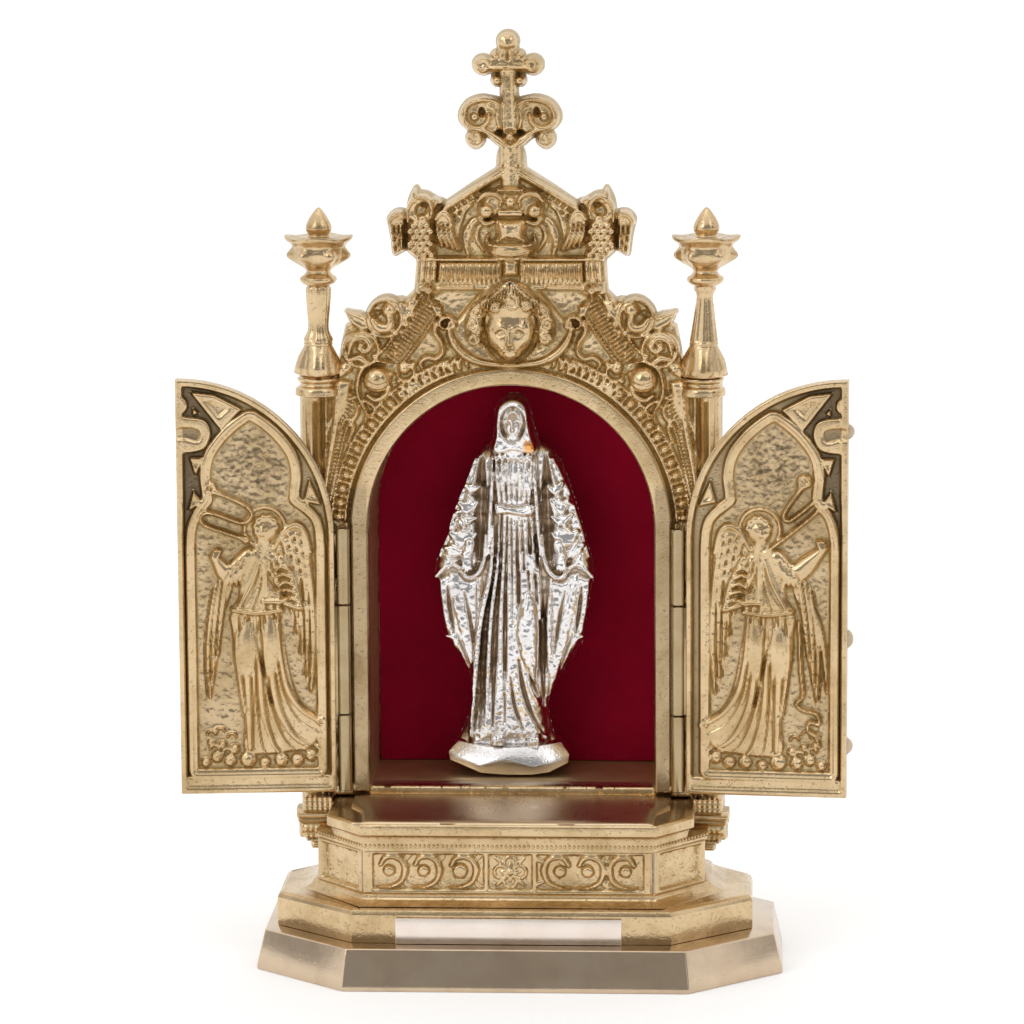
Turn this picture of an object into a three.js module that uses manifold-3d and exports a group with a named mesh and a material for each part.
// Cast-brass triptych altarpiece: a small standing shrine with two hinged doors.
// Millimetres, +Z up, X to the right, Y to the back. The origin is on the underside of the foot plate.
import * as THREE from 'three';
import { mergeVertices } from 'three/addons/utils/BufferGeometryUtils.js';
import Module from 'manifold-3d';

const wasm = await Module();
wasm.setup();

// ---- Driving dimensions ----
const gap = 0.3; // between pieces that rest against each other
const footHeight = 9.2;
const footShift = 2.2; // the plate sits a little to the right of the shrine
const tierShift = 1.5;
const tierTop = 15.4;
const dadoFoot = 18.2;
const dadoTop = 28;
const shelfTop = 33.5;
const shelfFront = -21.7;
const dadoFront = -20;
const floorTop = 35.5; // niche floor
const faceGround = 5.2; // front of the facade's plain ground
const faceBack = 9.4;
const pilasterOuter = 45;
const pilasterInner = 41.4;
const archCentre = 91;
const archRadius = 30.6;
const ringWidth = 3.8;
const nicheBack = 33.3;
const nicheWall = 1.8;
const velvetFront = 30.9;
const hingeX = 35.8;
const hingeY = 1.5;
const hingeRadius = 1.45;
const boreRadius = 0.75;
const pinRadius = 0.45;
const hingeBottom = 36;
const hingeTop = 93;
const knuckleBreaks = [52.6, 76.5];
const leafBottom = 35.7;
const leafSpring = 91;
const leafTop = 124.4;
const leafStart = 2; // from the hinge axis to the leaf's edge
const leafReach = { left: 35, right: 36 };
const leafHalf = 1.75; // half of the leaf's thickness
const traceryLevel = -1.2; // face of the tracery, behind the leaf's rim
const figureGround = -0.2; // the ground behind the angel
const restAngle = 6; // degrees that an open leaf stands forward of the facade
const pinnacleX = 41.7;
const statueY = 21.4;
const crossTop = 200;

// ---- Materials ----
const brass = { color: 0xc8a06a, roughness: 0.26, metalness: 1 };
const polishedBrass = { color: 0xdcb88c, roughness: 0.12, metalness: 1 };
const hingeBrass = { color: 0xcdbd82, roughness: 0.3, metalness: 1 };
const silverPlate = { color: 0xd9dadb, roughness: 0.2, metalness: 1 };
const velvet = { color: 0x6a0214, roughness: 1, metalness: 0 };

// ---- Geometry helpers ----

// Merges shared corners, drops empty triangles and turns the faces outward.
function closedBody(geometry) {
  const plain = geometry.clone();
  plain.deleteAttribute('normal');
  plain.deleteAttribute('uv');
  const merged = mergeVertices(plain, 1e-4);
  const points = merged.attributes.position.array;
  const corners = merged.index.array;
  const faces = [];
  let volume = 0;
  for (let i = 0; i < corners.length; i += 3) {
    const [a, b, c] = [corners[i], corners[i + 1], corners[i + 2]];
    if (a === b || b === c || a === c) continue;
    faces.push(a, b, c);
    const [p, q, r] = [a, b, c].map((k) => new THREE.Vector3().fromArray(points, 3 * k));
    volume += p.dot(q.cross(r));
  }
  if (volume < 0) faces.reverse();
  merged.setIndex(faces);
  return merged;
}

function toSolid(geometry) {
  const body = closedBody(geometry);
  return new wasm.Manifold(new wasm.Mesh({
    numProp: 3,
    vertProperties: Float32Array.from(body.attributes.position.array),
    triVerts: Uint32Array.from(body.index.array),
  }));
}

function toGeometry(solid) {
  const mesh = solid.getMesh();
  const geometry = new THREE.BufferGeometry();
  geometry.setAttribute('position', new THREE.BufferAttribute(mesh.vertProperties, 3));
  geometry.setIndex(new THREE.BufferAttribute(mesh.triVerts, 1));
  return geometry;
}

function join(geometries) {
  return geometries.map(toSolid).reduce((all, next) => all.add(next));
}

function block(x0, x1, y0, y1, z0, z1) {
  const box = new THREE.BoxGeometry(x1 - x0, y1 - y0, z1 - z0);
  return box.translate((x0 + x1) / 2, (y0 + y1) / 2, (z0 + z1) / 2);
}

// An outline drawn in X and Z, from a front plane back to a back plane.
function plate(shape, yFront, yBack, curveSegments = 8) {
  const body = new THREE.ExtrudeGeometry(shape, {
    depth: yBack - yFront, bevelEnabled: false, curveSegments,
  });
  return body.rotateX(Math.PI / 2).translate(0, yBack, 0);
}

function outline(points) {
  return new THREE.Shape(points.map(([x, z]) => new THREE.Vector2(x, z)));
}

function ball(x, y, z, rx, ry = rx, rz = rx, sides = 8, rings = 5) {
  const sphere = new THREE.SphereGeometry(1, sides, rings).rotateX(Math.PI / 2);
  return sphere.scale(rx, ry, rz).translate(x, y, z);
}

// A profile of [radius, height] turned about an upright axis.
function turned(profile, sides, x, y) {
  const points = profile.map(([radius, z]) => new THREE.Vector2(radius, z));
  const body = new THREE.LatheGeometry(points, sides);
  return body.rotateX(Math.PI / 2).rotateZ(Math.PI / sides).translate(x, y, 0);
}

// A rod with a flat-sided section along a smooth line through the points.
function rod(points, radius, steps, sides = 4, depthScale = 1) {
  const path = new THREE.CatmullRomCurve3(points.map(([x, y, z]) => new THREE.Vector3(x, y, z)));
  const section = new THREE.Shape();
  for (let i = 0; i < sides; i += 1) {
    const angle = (2 * Math.PI * (i + 0.5)) / sides;
    const [across, along] = [radius * Math.cos(angle), radius * depthScale * Math.sin(angle)];
    if (i === 0) section.moveTo(across, along);
    else section.lineTo(across, along);
  }
  section.closePath();
  return new THREE.ExtrudeGeometry(section, { steps, extrudePath: path, bevelEnabled: false });
}

// A tapered bar between two points.
function bar(from, to, radiusFrom, radiusTo, sides = 6) {
  const start = new THREE.Vector3(...from);
  const end = new THREE.Vector3(...to);
  const body = new THREE.CylinderGeometry(radiusTo, radiusFrom, start.distanceTo(end), sides);
  const turn = new THREE.Quaternion().setFromUnitVectors(
    new THREE.Vector3(0, 1, 0), end.clone().sub(start).normalize(),
  );
  return body.applyQuaternion(turn).translate(...start.add(end).multiplyScalar(0.5).toArray());
}

// A spiral in the facade's plane that winds from its outer radius into its eye.
function scroll(x, y, z, radius, thickness, startDegrees, turns, steps = 7) {
  const points = [];
  for (let i = 0; i <= steps; i += 1) {
    const part = i / steps;
    const angle = THREE.MathUtils.degToRad(startDegrees + 360 * turns * part);
    const reach = radius * (1 - 0.72 * part) - thickness / 2;
    points.push([x + reach * Math.cos(angle), y, z + reach * Math.sin(angle)]);
  }
  return rod(points, thickness, steps, 4);
}

function mirrored(geometry) {
  return geometry.clone().scale(-1, 1, 1);
}

function bothSides(geometries) {
  return [...geometries, ...geometries.map(mirrored)];
}

// A closed body through rings that all have the same number of corners.
function loft(rings) {
  const count = rings[0].length;
  const faces = [];
  for (let level = 0; level + 1 < rings.length; level += 1) {
    for (let i = 0; i < count; i += 1) {
      const a = level * count + i;
      const b = level * count + ((i + 1) % count);
      faces.push(a, b, b + count, a, b + count, a + count);
    }
  }
  const last = (rings.length - 1) * count;
  const middles = [rings[0], rings[rings.length - 1]].map((ring) => {
    const sum = ring.reduce((total, point) => total.map((value, k) => value + point[k]), [0, 0, 0]);
    return sum.map((value) => value / count);
  });
  const bottom = rings.length * count;
  for (let i = 0; i < count; i += 1) {
    const next = (i + 1) % count;
    faces.push(bottom, next, i, bottom + 1, last + i, last + next);
  }
  const geometry = new THREE.BufferGeometry();
  const points = [...rings.flat(), ...middles].flat();
  geometry.setAttribute('position', new THREE.Float32BufferAttribute(points, 3));
  geometry.setIndex(faces);
  return geometry;
}

function facet(geometry, name, finish) {
  const mesh = new THREE.Mesh(closedBody(geometry), new THREE.MeshStandardMaterial(finish));
  mesh.name = name;
  return mesh;
}

// ---- Stepped base ----

// One level of the eight-sided base: a long front, slanted corners and short sides.
function octagon({ z, half, flat, front, sideFront, sideBack, back, shift = 0 }) {
  const right = [[flat, front], [half, sideFront], [half, sideBack], [flat, back]];
  const left = right.map(([x, y]) => [-x, y]).reverse();
  return [...right, ...left].map(([x, y]) => [x + shift, y, z]);
}

function grown(level, amount, z) {
  return {
    ...level,
    z,
    half: level.half + amount,
    flat: level.flat + amount * Math.tan(Math.PI / 8),
    front: level.front - amount,
    back: level.back + amount,
  };
}

const footLevel = {
  z: 0, half: 56, flat: 36.3, front: -31.3, sideFront: -13.3, sideBack: 14.5, back: 33.5, shift: footShift,
};
const tierLevel = {
  z: footHeight + gap, half: 50.7, flat: 33.3, front: -24.7, sideFront: -9.5, sideBack: 9.5,
  back: 29, shift: tierShift,
};
const dadoLevel = {
  z: dadoFoot, half: 41.6, flat: 30.5, front: dadoFront, sideFront: -7, sideBack: 12, back: 25.5, shift: 0.4,
};

function footPlate() {
  const lip = 0.9;
  const slope = 1.8;
  return loft([
    octagon(footLevel), octagon({ ...footLevel, z: lip }), octagon(grown(footLevel, -slope, footHeight)),
  ]);
}

function quatrefoil(x, z, radius, yFront, yBack) {
  const lobes = [0, 90, 180, 270].map((degrees) => {
    const angle = THREE.MathUtils.degToRad(degrees);
    const [lobeX, lobeZ] = [x + radius * Math.cos(angle), z + radius * Math.sin(angle)];
    return bar([lobeX, yBack, lobeZ], [lobeX, yFront, lobeZ], radius * 0.72, radius * 0.62, 6);
  });
  return [...lobes, bar([x, yBack, z], [x, yFront, z], radius, radius * 0.9, 8)];
}

function friezeRelief() {
  const middle = 23;
  const ground = dadoFront + 0.7;
  const scrollRadius = 3.3;
  const pieces = [];
  for (const side of [-1, 1]) {
    for (let i = 0; i < 3; i += 1) {
      const x = dadoLevel.shift + side * (10.6 + 6.9 * i);
      const start = i % 2 ? 90 : -90;
      pieces.push(scroll(x, ground - 0.3, middle, scrollRadius, 0.6, start, side * 1.2, 8));
    }
    const barX = dadoLevel.shift + side * 5.4;
    pieces.push(block(barX - 0.5, barX + 0.5, dadoFront + 0.1, ground + 0.5, 18.8, 27.2));
  }
  return [...pieces, ...quatrefoil(dadoLevel.shift, middle, 1.9, dadoFront + 0.1, ground + 0.4)];
}

function pedestal() {
  const levels = [
    tierLevel,
    { ...tierLevel, z: tierTop },
    grown(tierLevel, -0.5, tierTop + 0.9),
    grown(tierLevel, -1.7, tierTop + 1.5),
    { ...grown(tierLevel, -2.3, tierTop + 1.8), shift: 1 },
    grown(dadoLevel, 0.7, dadoFoot),
    { ...dadoLevel, z: dadoFoot + 0.3 },
    { ...dadoLevel, z: dadoTop },
    grown(dadoLevel, 0.5, dadoTop + 0.6),
    grown(dadoLevel, 0.6, dadoTop + 1.6),
    grown(dadoLevel, 1.3, dadoTop + 3),
    grown(dadoLevel, 1.7, dadoTop + 3.4),
    grown(dadoLevel, 1.7, shelfTop - 0.4),
    grown(dadoLevel, 1.3, shelfTop),
  ];
  const recess = block(
    dadoLevel.shift - 28.4, dadoLevel.shift + 28.4, dadoFront - 1, dadoFront + 0.7, 18.9, 27.1,
  );
  const corbelRoom = bothSides([block(38, 60, 1.8, faceBack + gap, 21.7, shelfTop + 1)]);
  let body = toSolid(loft(levels.map(octagon))).subtract(toSolid(recess));
  body = body.add(join(friezeRelief()));
  corbelRoom.forEach((room) => {
    body = body.subtract(toSolid(room));
  });
  return toGeometry(body);
}

// ---- Facade ----

// The niche opening: straight sides under a round head.
function archShape(radius, bottom, centre = archCentre, segments = 24) {
  const shape = new THREE.Shape();
  shape.moveTo(-radius, bottom);
  shape.lineTo(radius, bottom);
  for (let i = 0; i <= segments; i += 1) {
    const angle = (Math.PI * i) / segments;
    shape.lineTo(radius * Math.cos(angle), centre + radius * Math.sin(angle));
  }
  shape.closePath();
  return shape;
}

function facadeGround() {
  const half = [
    [45, 33.8], [45, 123], [37, 124], [35, 134.5], [29.5, 137.5], [24.5, 141.2], [20.6, 142.4], [20.6, 150],
    [19, 158], [14.2, 161.4], [2.6, 169], [2.2, 174],
  ];
  const other = half.map(([x, z]) => [-x, z]).reverse();
  return plate(outline([...half, ...other]), faceGround, faceBack);
}

// A band along a line that is smooth on its inner side and toothed on its outer side.
function combBand(place, teeth, inner, root, tip, yFront) {
  const outer = [];
  const base = [];
  for (let i = 0; i < teeth; i += 1) {
    outer.push(place((i + 0.1) / teeth, root), place((i + 0.6) / teeth, tip));
    if (i % 3 === 0) base.push(place(i / teeth, inner));
  }
  return plate(outline([...outer, place(1, root), place(1, inner), ...base.reverse()]), yFront, faceGround + 0.2);
}

// Places points beside an arc about the niche's centre.
function besideArc(radius, fromDegrees, toDegrees, squash = 1) {
  return (part, aside) => {
    const angle = THREE.MathUtils.degToRad(fromDegrees + (toDegrees - fromDegrees) * part);
    const reach = radius + aside;
    return [reach * Math.cos(angle) * squash, archCentre + reach * Math.sin(angle)];
  };
}

function pilaster() {
  return [
    block(pilasterInner, pilasterOuter, 4.5, 8, 34, 121),
    block(pilasterInner, pilasterInner + 0.9, 3.9, 5, 34.8, 120.5),
    block(pilasterOuter - 1, pilasterOuter - 0.1, 3.9, 5, 34.8, 120.5),
    block(38.6, 45.3, 3, faceBack, 30.7, 34.4),
    block(38.4, 46.7, 2.3, faceBack, 27.6, 30.8),
    block(39.2, 46, 2.9, faceBack, 25.6, 27.7),
    block(40, 45.2, 3.6, faceBack - 0.4, 23.6, 25.7),
    block(41.4, 43.6, 4.4, faceBack - 1, 22.1, 23.7),
  ];
}

// The candlestick that stands on a capital: a square-set block, a shaft, a leaf cup and a flame.
function pinnacle(x, shaftFoot, shaftHead) {
  const y = 5.6;
  const profile = [
    [0, 119.6], [4.7, 119.8], [4.7, 121.4], [3.9, 122.4], [4.7, 123.4], [4.7, 126], [3, 130.2],
    [shaftFoot, 134], [shaftHead, 142.8], [3.8, 144.4], [3.8, 145.6], [2.6, 146.7], [5.8, 149.8],
    [4.5, 151.4], [7.1, 153.8], [7, 154.6], [2.3, 155], [2.6, 156.6], [1.5, 159.4], [0, 160.8],
  ];
  return turned(profile, 7, x, y);
}

function volutes() {
  return [
    scroll(26.8, 4, 137.3, 4, 1, -60, 1.4),
    ball(26.8, 4, 137.3, 2, 1.6, 2, 6, 3),
    scroll(31.2, 4, 130.6, 4.3, 1, 60, -1.4),
    ball(31.2, 4, 130.6, 2.1, 1.7, 2.1, 6, 3),
    ball(28.2, 4, 123.2, 2.9, 2, 2.9, 7, 4),
    plate(outline([[28, 134], [34.8, 138], [33.4, 133.6], [30, 132]]), 4, faceBack - 0.2),
    plate(outline([[30, 114], [35.6, 119.5], [37, 126], [33.6, 124.4], [31, 119.5]]), 4.2, faceGround + 0.4),
    plate(outline([[20, 141.5], [24.2, 142.6], [25.4, 139.4], [22.6, 137.6]]), 4.2, faceBack - 0.3),
    combBand(besideArc(47, 51, 70), 6, -2.6, 0, 1.1, 4.1),
    combBand(besideArc(40.4, 8, 44), 8, -1.5, 0.1, 1.2, 4.2),
    combBand(besideArc(35.8, 6, 66), 13, -1.2, 0, 1.2, 4.3),
  ];
}

function cherub() {
  const [z, y] = [135.4, 4.2];
  const curls = [];
  const curlCount = 5;
  for (let i = 0; i < curlCount; i += 1) {
    const angle = THREE.MathUtils.degToRad(-10 + (200 * i) / (curlCount - 1));
    curls.push(ball(6.4 * Math.cos(angle), y - 0.6, z + 1.2 + 6 * Math.sin(angle), 2.7, 1.9, 2.6, 6, 3));
  }
  const wing = outline([
    [12.4, 134.2], [7.4, 128.6], [0, 126.2], [-0.5, 128.4], [0, 128.8], [6, 131], [9.6, 134.2], [11, 137.6],
  ]);
  return [
    ball(0, y - 0.7, z, 5.2, 3.1, 6.4, 8, 6),
    bar([0, y - 3.5, z + 1.4], [0, y - 3.8, z - 1.4], 0.5, 0.9, 4),
    ...curls,
    ...bothSides([plate(wing, y - 0.8, faceGround + 0.5), ball(12.2, y, 135.2, 2.2, 1.5, 2.2, 6, 4)]),
  ];
}

function entablature() {
  const ribs = [];
  const count = 10;
  for (let i = 0; i < count; i += 1) {
    const x = -18.6 + (37.2 * (i + 0.5)) / count;
    ribs.push(block(x - 0.9, x + 0.9, 3.6, faceGround + 0.3, 143.9, 148.8));
  }
  return [
    block(-20.6, 20.6, 2.8, faceBack - 0.2, 148.7, 150),
    block(-20.2, 20.2, 3, faceBack - 0.3, 142.5, 144),
    ...ribs,
    ...bothSides([
      new THREE.OctahedronGeometry(2.3).scale(1, 0.9, 1).translate(17.4, 3.4, 143.4),
      bar([13.8, 4.4, 160.8], [2, 4.4, 168.2], 0.9, 0.9, 4),
    ]),
  ];
}

// A perched bird with half-spread wings, seen from the front.
function bird() {
  const outerWing = outline([
    [20.6, 160.6], [25.6, 161.6], [27.3, 159.6], [26.8, 155], [25.8, 150.4], [24.8, 152.8], [24, 151.2],
    [23, 153.4], [22, 152.4], [20.6, 154],
  ]);
  const innerWing = outline([
    [18.6, 160], [14.4, 160.8], [12.4, 157.2], [10.4, 151.6], [12.4, 153.2], [13, 151.4], [14.8, 153.6],
    [15.4, 151.8], [18.6, 154],
  ]);
  return [
    ball(19.8, 4.2, 155.6, 2.9, 2.2, 5.4, 7, 5),
    ball(19.8, 3.8, 162, 2.5, 2.1, 2.6, 7, 4),
    bar([20.3, 5.6, 163], [20.4, 6, 166.8], 1.9, 0.7, 6),
    block(17.6, 22.6, 3.4, faceBack - 0.5, 149.6, 151.6),
    plate(outerWing, 4.2, faceBack - 0.4),
    plate(innerWing, 4.2, faceGround + 0.6),
  ];
}

function baluster() {
  const profile = [
    [0, 144.6], [1.9, 145.2], [1.9, 148.4], [5.4, 150.2], [5.2, 152.4], [3.6, 154], [3.5, 157.2],
    [7.1, 160.6], [7, 162.4], [4.4, 165], [0, 165.8],
  ];
  return turned(profile, 10, 0, 4.6).scale(1, 0.62, 1).translate(0, 1.9, 0);
}

function cross() {
  const [yFront, yBack] = [4.2, faceBack - 0.6];
  const middle = (yFront + yBack) / 2;
  const disc = (x, z, radius) => bar([x, yBack, z], [x, yFront - 0.4, z], radius, radius * 0.75, 6);
  const half = [
    disc(5.8, 192.7, 2),
    plate(outline([[1.5, 190.6], [4.4, 189.8], [3.6, 187.6], [1.5, 186.6]]), yFront + 0.5, yBack - 0.5),
    scroll(6.9, middle, 182.4, 4.6, 1.25, 200, -1, 8),
    disc(6.9, 182.2, 1.7),
    bar([1, middle, 183], [7, middle, 182.3], 1, 1, 4),
    disc(7.7, 176.4, 1.9),
    plate(outline([[0, 171], [3, 174], [7, 175], [8.6, 178], [6, 179.4], [0, 180]]), yFront + 0.3, yBack - 0.3),
  ];
  return [
    block(-2, 2, yFront, yBack, 168, crossTop - 2.2),
    block(-5.8, 5.8, yFront + 0.2, yBack - 0.2, 191, 194.2),
    block(-2.7, 2.7, yFront + 0.1, yBack + 0.1, 165, 176),
    disc(0, crossTop - 2.2, 2.2),
    ...bothSides(half),
  ];
}

function facade() {
  const opening = toSolid(plate(archShape(archRadius, floorTop), 0, faceBack + 5));
  const ring = toSolid(plate(archShape(archRadius + ringWidth, floorTop - 1), 3.9, faceGround + 1));
  const relief = [
    ...bothSides([...pilaster(), ...volutes(), ...bird()]),
    ...cherub(),
    ...entablature(),
    baluster(),
    pinnacle(-pinnacleX, 2.05, 2.7),
    pinnacle(pinnacleX, 2.7, 1.6),
    ...cross(),
  ];
  const body = toSolid(facadeGround()).add(ring).add(join(relief));
  return toGeometry(body.subtract(opening));
}

// ---- Niche ----

function nicheShell() {
  const inner = archRadius + 0.2;
  const outer = toSolid(plate(archShape(inner + nicheWall, shelfTop + gap), faceBack + gap, nicheBack));
  const room = toSolid(plate(archShape(inner, floorTop), faceBack - 1, velvetFront + 0.9));
  return toGeometry(outer.subtract(room));
}

function velvetLining() {
  return plate(archShape(archRadius - 0.1, floorTop + gap), velvetFront, velvetFront + 0.6);
}

// ---- Standing figure ----

// One level of a robed body: an oval with upright folds.
function foldedRing(z, halfWidth, halfDepth, folds, depth, y, count = 20) {
  const ring = [];
  for (let i = 0; i < count; i += 1) {
    const angle = (2 * Math.PI * i) / count;
    const wave = 1 + depth * Math.cos(folds * angle);
    ring.push([halfWidth * wave * Math.cos(angle), y + halfDepth * wave * Math.sin(angle), z]);
  }
  return ring;
}

// One level of the figure: the open mantle behind and beside it, and the folded robe in front.
function figureRing([z, mantle, robe, depth, edge]) {
  const ring = [];
  const backSteps = 8;
  for (let i = 0; i <= backSteps; i += 1) {
    const angle = (Math.PI * i) / backSteps;
    const wave = 1 + 0.05 * Math.cos(8 * angle);
    ring.push([mantle * wave * Math.cos(angle), edge + depth * wave * Math.sin(angle)]);
  }
  const hem = Math.max(mantle - 1.4, robe);
  ring.push([-hem, edge - 0.9], [-(robe + hem) / 2 - 0.1, edge + 0.6]);
  const folds = 6;
  for (let i = 0; i <= folds; i += 1) {
    const across = -0.96 + (1.92 * i) / folds;
    const ripple = i % 2 ? 1 : 0.86;
    ring.push([robe * across, -depth * ripple * Math.sqrt(1 - across * across) * 0.95 - 0.3]);
  }
  ring.push([(robe + hem) / 2 + 0.1, edge + 0.6], [hem, edge - 0.9]);
  return ring.map(([x, y]) => [x, statueY + y, floorTop + gap + z]);
}

function statue() {
  const foot = floorTop + gap;
  // Height, half-width of the mantle and of the robe, depth, and how far the mantle's edge stands forward.
  const body = [
    [5.6, 11.2, 10, 5.6, 0], [9, 10.2, 9.2, 5.2, 0], [16, 8.8, 7.9, 4.7, 0], [22, 11, 7.8, 4.7, -0.4],
    [29, 14.2, 7.4, 4.8, -1], [40, 16.8, 7, 4.8, -1.8], [45.4, 17, 6.8, 4.8, -2], [52, 14.6, 6.2, 4.5, -1.4],
    [59, 12, 4.8, 4.1, -0.4], [66, 9.2, 5.4, 4, 0], [70.4, 6.6, 4.6, 3.7, 0], [73, 4.6, 3, 3.2, 0],
  ].map(figureRing);
  const oval = (z, width, depth, y, count) => foldedRing(foot + z, width, depth, 4, 0, y, count);
  const veil = [[71, 4.7], [75, 4.5], [79, 4.2], [81.6, 3], [82.6, 1.3]].map(
    ([z, width]) => oval(z, width, width * 0.82, statueY + 0.8, 10),
  );
  const plinth = [[0, 13, 7], [2.6, 13, 7], [6.6, 10.4, 5.8]].map(
    ([z, width, depth]) => oval(z, width, depth, statueY, 10),
  );
  const arms = bothSides([
    bar([10.8, statueY - 1.8, foot + 56], [15.4, statueY - 3.4, foot + 45], 2.2, 1.3, 5),
    ball(15.8, statueY - 3.8, foot + 43.4, 1.3, 0.9, 2.1, 5, 4),
  ]);
  return toGeometry(join([
    loft(plinth), loft(body), loft(veil),
    loft([oval(58.6, 5, 4.3, statueY - 0.3, 10), oval(60.6, 4.9, 4.3, statueY - 0.3, 10)]),
    ball(0, statueY - 1.3, foot + 76.4, 3.1, 3, 3.9, 8, 6),
    bar([0, statueY - 4, foot + 77.4], [0, statueY - 4.3, foot + 75.6], 0.3, 0.55, 4),
    ...arms,
  ]));
}

// ---- Doors ----
// A leaf is modelled open and flat, with its hinge axis on X = 0 and Y = 0 and its figure towards -Y.

function leafShape(reach, inset) {
  const radius = leafTop - leafSpring;
  const [start, end] = [leafStart + inset, reach - inset];
  const shape = new THREE.Shape();
  shape.moveTo(start, leafBottom + inset * 1.6);
  shape.lineTo(end, leafBottom + inset * 1.6);
  const steps = 10;
  for (let i = 0; i <= steps; i += 1) {
    const angle = (Math.PI / 2) * (i / steps);
    const across = (end - start) * Math.sin(angle);
    shape.lineTo(end - across, leafSpring + (radius - inset) * Math.cos(angle));
  }
  shape.closePath();
  return shape;
}

// The pointed and cusped opening of the tracery over the figure.
function traceryOpening(reach) {
  const middle = reach - 15.6;
  const half = 13.4;
  const lowerSide = [[half, leafBottom + 4.6], [half, 90.5]];
  const cusps = [[10.4, 95.6], [9.2, 98], [11.2, 101.4], [10, 106.6], [5.4, 113.4], [0, 117.6]];
  const right = [...lowerSide, ...cusps];
  const left = right.slice(0, -1).map(([x, z]) => [-x, z]).reverse();
  return outline([...right, ...left].map(([x, z]) => [middle + x, z]));
}

function angel(middle) {
  const ground = figureGround;
  const at = (x, z, lift = 0) => [middle + x, ground - lift, z];
  const relief = (points, lift) => plate(outline(points.map(([x, z]) => [middle + x, z])), ground - lift, 0.2);
  const folds = [-3.2, 0, 3.2].map((spread) => rod([
    at(spread * 0.35, 73.4, 0.6), at(spread * 0.8 - 0.6, 62, 0.9), at(spread * 1.7 - 3.4, 50, 0.8),
    at(spread * 2.1 - 5, 45.6, 0.5),
  ], 1.3, 3, 3));
  return [
    bar(at(0, 91.8, -0.4), at(0, 91.8, 0.6), 5.3, 5, 8),
    ball(...at(0, 91.4, 0.7), 2.5, 1.3, 3, 6, 4),
    ball(...at(-0.2, 81.4, 0.5), 4.1, 1.5, 7.4, 6, 4),
    bar(at(3, 85.4, 0.5), at(8.6, 82.4, 0.4), 1.7, 1.3, 4),
    bar(at(8.4, 82, 0.4), at(10.4, 86.6, 0.6), 1.2, 0.8, 4),
    bar(at(-3.2, 84.6, 0.6), at(-5.6, 77.4, 0.5), 1.6, 1.3, 4),
    bar(at(-5.8, 77.2, 0.6), at(1, 75.4, 1), 1.2, 0.8, 4),
    bar(at(2.4, 95.4, 0.6), at(10.2, 100.8, 0.7), 0.5, 0.8, 4),
    bar(at(9.8, 100.5, 0.7), at(12, 102, 0.8), 0.8, 2, 5),
    relief([[-0.6, 89], [6, 84], [9.6, 78], [11.4, 66], [11.6, 55.6], [9.8, 60], [8.6, 57], [7.4, 64], [6, 62], [-0.6, 72]], 0.7),
    relief([[0.6, 89], [0.6, 74], [-5, 74], [-6, 66], [-7.6, 69], [-8.8, 60], [-10.4, 66], [-13, 58], [-12.6, 76], [-10, 88], [-6.4, 92]], 0.7),
    relief([[-3.6, 74.4], [-6, 60], [-10.6, 50], [-14, 45], [-6, 45.8], [-4.4, 44.6], [5, 45], [4.6, 60], [3.4, 74.4]], 0.9),
    relief([
      [-13, 41], [-10.6, 45.6], [-8, 44], [-5, 46.4], [-2, 44.6], [1, 46.2], [4, 44.4], [7, 46.8],
      [12.4, 45.4], [13, 41],
    ], 0.9),
    ...folds,
  ];
}

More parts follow.
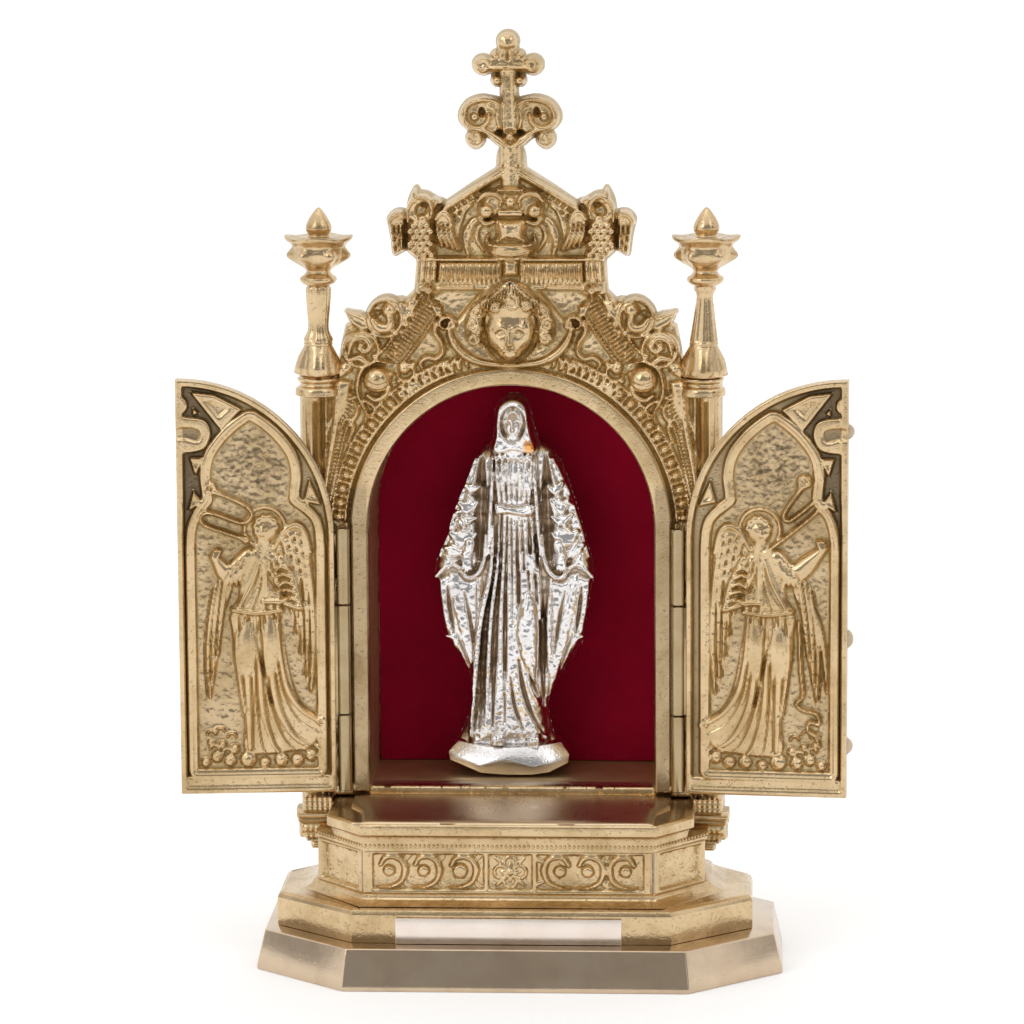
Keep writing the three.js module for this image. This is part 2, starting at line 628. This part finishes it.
function leaf(reach, hasKnob) {
  const shell = toSolid(plate(leafShape(reach, 0), -leafHalf, leafHalf));
  const panel = toSolid(plate(leafShape(reach, 1.5), -leafHalf - 1, traceryLevel));
  const opening = toSolid(plate(traceryOpening(reach), -leafHalf - 1, figureGround));
  const middle = reach - 16.6;
  const [knuckleFrom, knuckleTo] = knuckleBreaks;
  const barrel = turned([
    [boreRadius, knuckleFrom + 0.15], [hingeRadius, knuckleFrom + 0.15], [hingeRadius, knuckleTo - 0.15],
    [boreRadius, knuckleTo - 0.15], [boreRadius, knuckleFrom + 0.15],
  ], 8, 0, 0);
  const wing = block(1.1, leafStart + 0.6, -0.5, 0.7, knuckleFrom + 0.2, knuckleTo - 0.2);
  const spandrels = [
    bar([reach - 4.6, -0.9, 112.6], [reach - 4.6, -1.7, 112.6], 2.6, 2.2, 6),
    bar([reach - 4.2, -0.9, 118.4], [reach - 4.2, -1.7, 118.4], 1.7, 1.4, 6),
  ];
  const bosses = [[4.4, 44], [4.4, 84], [4.4, 108], [24, 44]].map(
    ([inset, z]) => bar([reach - inset, 0, z], [reach - inset, leafHalf + 1.1, z], 1.6, 0.8, 5),
  );
  const knob = ball(reach - 2.6, leafHalf + 1.2, 68.5, 2.1, 2.1, 2.6, 8, 6);
  const inside = toSolid(plate(leafShape(reach, 1), -2.2, 0.4));
  const relief = join([...angel(middle), ...spandrels]).intersect(inside);
  return toGeometry(
    shell.subtract(panel).subtract(opening).add(relief)
      .add(join([barrel, wing, ...bosses, ...(hasKnob ? [knob] : [])])),
  );
}

// The two end knuckles are soldered to the facade by a narrow bed behind each of them.
function frameKnuckle(from, to) {
  const barrel = turned([
    [boreRadius, from], [hingeRadius, from], [hingeRadius, to], [boreRadius, to], [boreRadius, from],
  ], 8, 0, 0);
  const bed = block(-0.9, 0.9, 1, faceGround - gap - hingeY, from + 0.4, to - 0.4);
  return toGeometry(toSolid(barrel).add(toSolid(bed)));
}

function hingePin() {
  return turned([
    [0, hingeBottom + 0.2], [pinRadius, hingeBottom + 0.2], [pinRadius, hingeTop - 0.2], [0, hingeTop - 0.2],
  ], 8, 0, 0);
}

// ---- Assembly ----

const triptych = new THREE.Group();
triptych.add(facet(footPlate(), 'foot_plate', polishedBrass));
triptych.add(facet(pedestal(), 'pedestal', brass));
triptych.add(facet(
  block(-23.8 + tierShift, 23.8 + tierShift, tierLevel.front - 0.9, tierLevel.front - gap, footHeight + gap, 14.9),
  'plaque', polishedBrass,
));
triptych.add(facet(facade(), 'facade', brass));
triptych.add(facet(nicheShell(), 'niche_shell', brass));
triptych.add(facet(velvetLining(), 'velvet_lining', velvet));
triptych.add(facet(statue(), 'statue', silverPlate));

for (const side of ['left', 'right']) {
  const sign = side === 'left' ? -1 : 1;
  const towardSide = (geometry) => (sign < 0 ? mirrored(geometry) : geometry);
  const hinge = new THREE.Group();
  hinge.position.set(sign * hingeX, hingeY, 0);
  const [lower, upper] = knuckleBreaks;
  hinge.add(facet(frameKnuckle(hingeBottom, lower - 0.15), `${side}_hinge_bottom`, hingeBrass));
  hinge.add(facet(frameKnuckle(upper + 0.15, hingeTop), `${side}_hinge_top`, hingeBrass));
  hinge.add(facet(hingePin(), `${side}_hinge_pin`, hingeBrass));
  const swing = new THREE.Group();
  swing.rotation.z = -sign * THREE.MathUtils.degToRad(restAngle);
  swing.add(facet(towardSide(leaf(leafReach[side], side === 'right')), `${side}_door`, brass));
  hinge.add(swing);
  triptych.add(hinge);
}

export default triptych;
